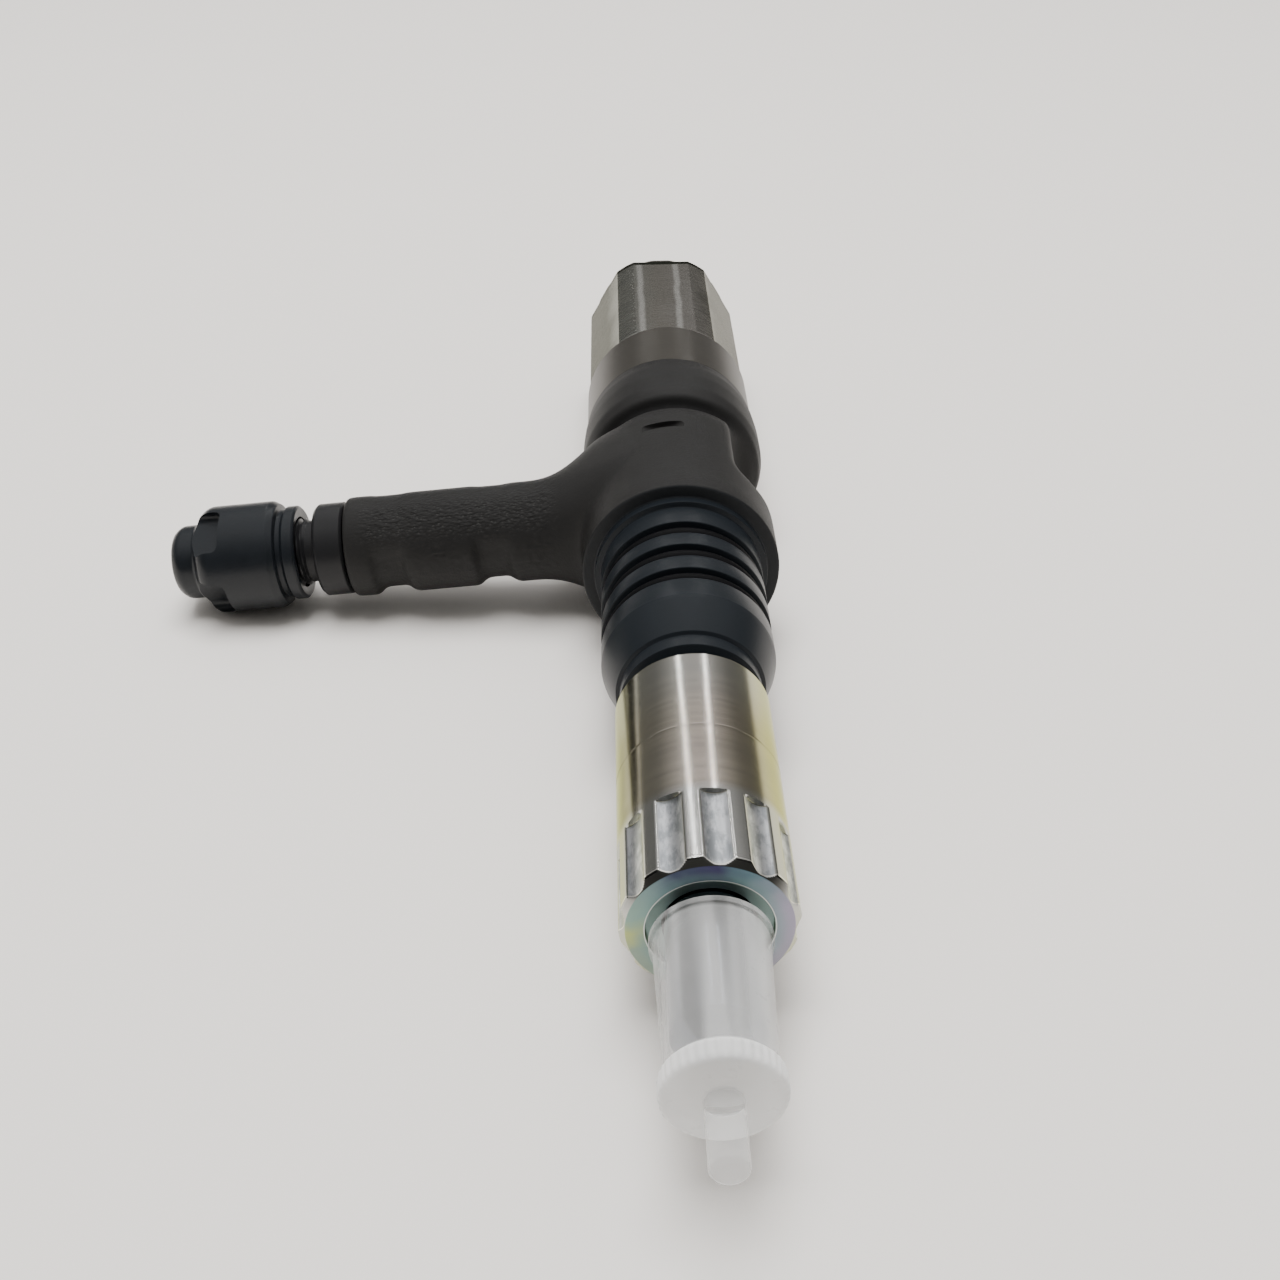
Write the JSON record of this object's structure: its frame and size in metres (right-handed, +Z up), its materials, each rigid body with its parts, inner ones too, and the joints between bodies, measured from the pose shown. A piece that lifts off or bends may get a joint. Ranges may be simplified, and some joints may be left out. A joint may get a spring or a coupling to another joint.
{
  "type": "fuel injector",
  "caption": "Diesel fuel injector with a side inlet arm, fluted retaining nut, hexagonal solenoid housing, seal rings and push-on caps over its nozzle and inlet.",
  "frame": {"origin": "under the middle of the whole injector, at the height of the surface it lies on", "axes": "+Y along the injector's axis from nozzle to solenoid, the inlet arm points to -X and dips a little to the surface, +Z up"},
  "size_m": [0.1286, 0.2802, 0.0405],
  "materials": {
    "black_forging": "black phosphated forged steel, machined where it seals",
    "zinc_steel": "turned steel with a thin iridescent zinc plating",
    "annealed_steel": "turned steel with a grey-brown heat tint",
    "hard_steel": "hardened and ground",
    "bright_steel": "lapped bright steel",
    "spring_steel": "oil-tempered spring wire",
    "copper": "copper winding and sealing ring",
    "brass_terminal": "plated brass stud",
    "seal_rubber": "smooth black sealing rubber",
    "black_plastic": "moulded black plastic, satin",
    "clear_plastic": "translucent soft polyethylene"
  },
  "bodies": {
    "injector": {"injector_body": "black_forging", "barrel_seal_lower": "seal_rubber", "barrel_seal_middle": "seal_rubber", "barrel_seal_upper": "seal_rubber", "nozzle_retaining_nut": "zinc_steel", "nozzle_body": "hard_steel", "distance_piece": "hard_steel", "locating_pin_left": "bright_steel", "locating_pin_right": "bright_steel", "nozzle_spring": "spring_steel", "spring_shim": "bright_steel", "orifice_plate": "bright_steel", "valve_body": "hard_steel", "valve_retaining_ring": "hard_steel", "valve_spring": "spring_steel", "valve_spring_shim": "bright_steel", "solenoid_core": "hard_steel", "solenoid_coil": "copper", "solenoid_union_ring": "annealed_steel", "solenoid_housing": "zinc_steel", "housing_seal": "seal_rubber", "terminal_block": "black_plastic", "terminal_stud_left": "brass_terminal", "terminal_stud_right": "brass_terminal", "terminal_washer_left": "bright_steel", "terminal_washer_right": "bright_steel", "terminal_nut_left": "zinc_steel", "terminal_nut_right": "zinc_steel", "inlet_connector": "black_forging", "inlet_edge_filter": "bright_steel", "inlet_sealing_ring": "copper"},
    "nozzle_cap": {"nozzle_protective_cap": "clear_plastic"},
    "inlet_cap": {"inlet_protective_cap": "black_plastic"},
    "needle_stack": {"nozzle_needle": "bright_steel", "pressure_pin": "hard_steel", "command_piston": "bright_steel"},
    "armature_stack": {"armature": "hard_steel", "valve_ball": "bright_steel"}
  },
  "joints": [
    {"name": "nozzle_cap_slide", "type": "slide", "parent": "injector", "child": "nozzle_cap", "axis": [0, -1, 0], "range_m": [0, 0.03]},
    {"name": "inlet_cap_slide", "type": "slide", "parent": "injector", "child": "inlet_cap", "axis": [-0.9961, 0, -0.0886], "range_m": [0, 0.02]},
    {"name": "needle_lift", "type": "slide", "parent": "injector", "child": "needle_stack", "axis": [0, 1, 0], "range_m": [0, 0.0003], "stiffness_N_per_m": 150, "springref_m": -0.002, "deforming": ["nozzle_spring"]},
    {"name": "armature_lift", "type": "slide", "parent": "injector", "child": "armature_stack", "axis": [0, 1, 0], "range_m": [0, 0.0001], "stiffness_N_per_m": 60, "springref_m": -0.002, "deforming": ["valve_spring"]}
  ]
}
